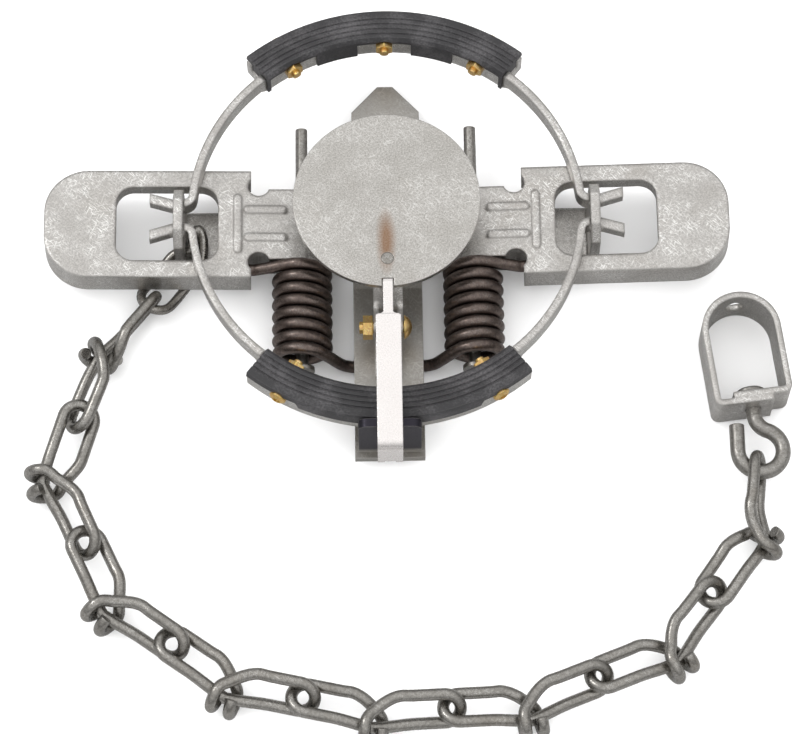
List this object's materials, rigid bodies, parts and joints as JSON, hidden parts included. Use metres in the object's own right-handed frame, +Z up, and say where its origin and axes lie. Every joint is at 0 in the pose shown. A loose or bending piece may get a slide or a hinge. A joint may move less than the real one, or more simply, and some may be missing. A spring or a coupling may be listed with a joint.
{
  "type": "foothold trap",
  "caption": "Padded-jaw foothold trap shown set, with coil-spring levers, round pan, dog, and a knotted wire chain ending in a strap swivel.",
  "frame": {"origin": "middle of the base strip's underside, on the ground below the middle of the pan", "axes": "+X along the spring levers towards the swivel's side, -Y towards the dog, +Z up"},
  "size_m": [0.2513, 0.2523, 0.0375],
  "materials": {
    "mill_steel": "scratched bright plating",
    "dull_steel": "dull drawn steel",
    "chain_steel": "dull drawn wire",
    "spring_steel": "oil-tempered wire",
    "pad_rubber": "moulded matte rubber",
    "yellow_zinc": "yellow zinc plating"
  },
  "bodies": {
    "frame": {"base_strip": "mill_steel", "cross_member": "mill_steel", "base_rivets": "dull_steel", "pan_bracket": "mill_steel", "lever_pin_left": "dull_steel", "lever_pin_right": "dull_steel", "spring_left": "spring_steel", "spring_right": "spring_steel", "pan_bolt": "yellow_zinc", "pan_nut": "yellow_zinc", "dog_pin": "dull_steel"},
    "near_jaw": {"jaw_near": "mill_steel", "pad_near": "pad_rubber", "pad_screws_near": "yellow_zinc", "pad_nuts_near": "yellow_zinc"},
    "far_jaw": {"jaw_far": "mill_steel", "pad_far": "pad_rubber", "pad_screws_far": "yellow_zinc", "pad_nuts_far": "yellow_zinc"},
    "left_lever": {"lever_left": "mill_steel"},
    "right_lever": {"lever_right": "mill_steel"},
    "dog_arm": {"dog": "mill_steel"},
    "pan_plate": {"pan": "mill_steel", "pan_shank": "mill_steel", "pan_rivet": "dull_steel"},
    "anchor": {"anchor_link": "chain_steel"},
    "link_1": {"chain_link_1": "chain_steel"},
    "link_2": {"chain_link_2": "chain_steel"},
    "link_3": {"chain_link_3": "chain_steel"},
    "link_4": {"chain_link_4": "chain_steel"},
    "link_5": {"chain_link_5": "chain_steel"},
    "link_6": {"chain_link_6": "chain_steel"},
    "link_7": {"chain_link_7": "chain_steel"},
    "link_8": {"chain_link_8": "chain_steel"},
    "hook": {"swivel_hook": "dull_steel"},
    "strap": {"swivel_strap": "mill_steel"}
  },
  "joints": [
    {"name": "near_jaw_fold", "type": "hinge", "parent": "frame", "child": "near_jaw", "pos_m": [0, -0.00435, 0.023], "axis": [-1, 0, 0], "range_deg": [0, 86]},
    {"name": "far_jaw_fold", "type": "hinge", "parent": "frame", "child": "far_jaw", "pos_m": [0, 0.00435, 0.023], "axis": [1, 0, 0], "range_deg": [0, 86.2]},
    {"name": "left_lever_lift", "type": "hinge", "parent": "frame", "child": "left_lever", "pos_m": [-0.0285, 0, 0.0103], "axis": [0, 1, 0], "range_deg": [0, 24.2]},
    {"name": "right_lever_lift", "type": "hinge", "parent": "frame", "child": "right_lever", "pos_m": [0.0285, 0, 0.0103], "axis": [0, -1, 0], "range_deg": [0, 24.2]},
    {"name": "dog_swing", "type": "hinge", "parent": "frame", "child": "dog_arm", "pos_m": [0, -0.0837, 0.022], "axis": [1, 0, 0], "range_deg": [0, 182.5]},
    {"name": "pan_tilt", "type": "hinge", "parent": "frame", "child": "pan_plate", "pos_m": [0, -0.0389, 0.02], "axis": [-1, 0, 0], "range_deg": [0, 8]},
    {"name": "anchor_swing", "type": "hinge", "parent": "frame", "child": "anchor", "pos_m": [-0.0691, -0.0051, 0.0078], "axis": [0, 0, 1], "range_deg": [-2.5, 0]},
    {"name": "link_1_swing", "type": "hinge", "parent": "anchor", "child": "link_1", "pos_m": [-0.07895, -0.02363, 0.00749], "axis": [0, 0, 1], "range_deg": [-5, 0]},
    {"name": "link_2_swing", "type": "hinge", "parent": "link_1", "child": "link_2", "pos_m": [-0.10129, -0.06312, 0.00931], "axis": [0, 0, 1], "range_deg": [-5, 0]},
    {"name": "link_3_swing", "type": "hinge", "parent": "link_2", "child": "link_3", "pos_m": [-0.09986, -0.10648, 0.00931], "axis": [0, 0, 1], "range_deg": [-5, 0]},
    {"name": "link_4_swing", "type": "hinge", "parent": "link_3", "child": "link_4", "pos_m": [-0.07203, -0.14163, 0.00931], "axis": [0, 0, 1], "range_deg": [-5, 0]},
    {"name": "link_5_swing", "type": "hinge", "parent": "link_4", "child": "link_5", "pos_m": [-0.03037, -0.16082, 0.00931], "axis": [0, 0, 1], "range_deg": [-5, 0]},
    {"name": "link_6_swing", "type": "hinge", "parent": "link_5", "child": "link_6", "pos_m": [0.01782, -0.16538, 0.00931], "axis": [0, 0, 1], "range_deg": [-5, 0]},
    {"name": "link_7_swing", "type": "hinge", "parent": "link_6", "child": "link_7", "pos_m": [0.06502, -0.15595, 0.00931], "axis": [0, 0, 1], "range_deg": [-5, 0]},
    {"name": "link_8_swing", "type": "hinge", "parent": "link_7", "child": "link_8", "pos_m": [0.10239, -0.12926, 0.00931], "axis": [0, 0, 1], "range_deg": [-5, 0]},
    {"name": "hook_swing", "type": "hinge", "parent": "link_8", "child": "hook", "pos_m": [0.11999, -0.08478, 0.00933], "axis": [0, 0, 1], "range_deg": [-8, 10]},
    {"name": "strap_swivel", "type": "hinge", "parent": "hook", "child": "strap", "pos_m": [0.11971, -0.06818, 0.00951], "axis": [-0.1184, 0.993, 0], "continuous": true}
  ],
  "couplings": [
    {"joint": "far_jaw_fold", "follows": "near_jaw_fold", "ratio": 1},
    {"joint": "left_lever_lift", "follows": "near_jaw_fold", "ratio": 0.28},
    {"joint": "right_lever_lift", "follows": "near_jaw_fold", "ratio": 0.28},
    {"joint": "dog_swing", "follows": "near_jaw_fold", "ratio": 2.12}
  ]
}
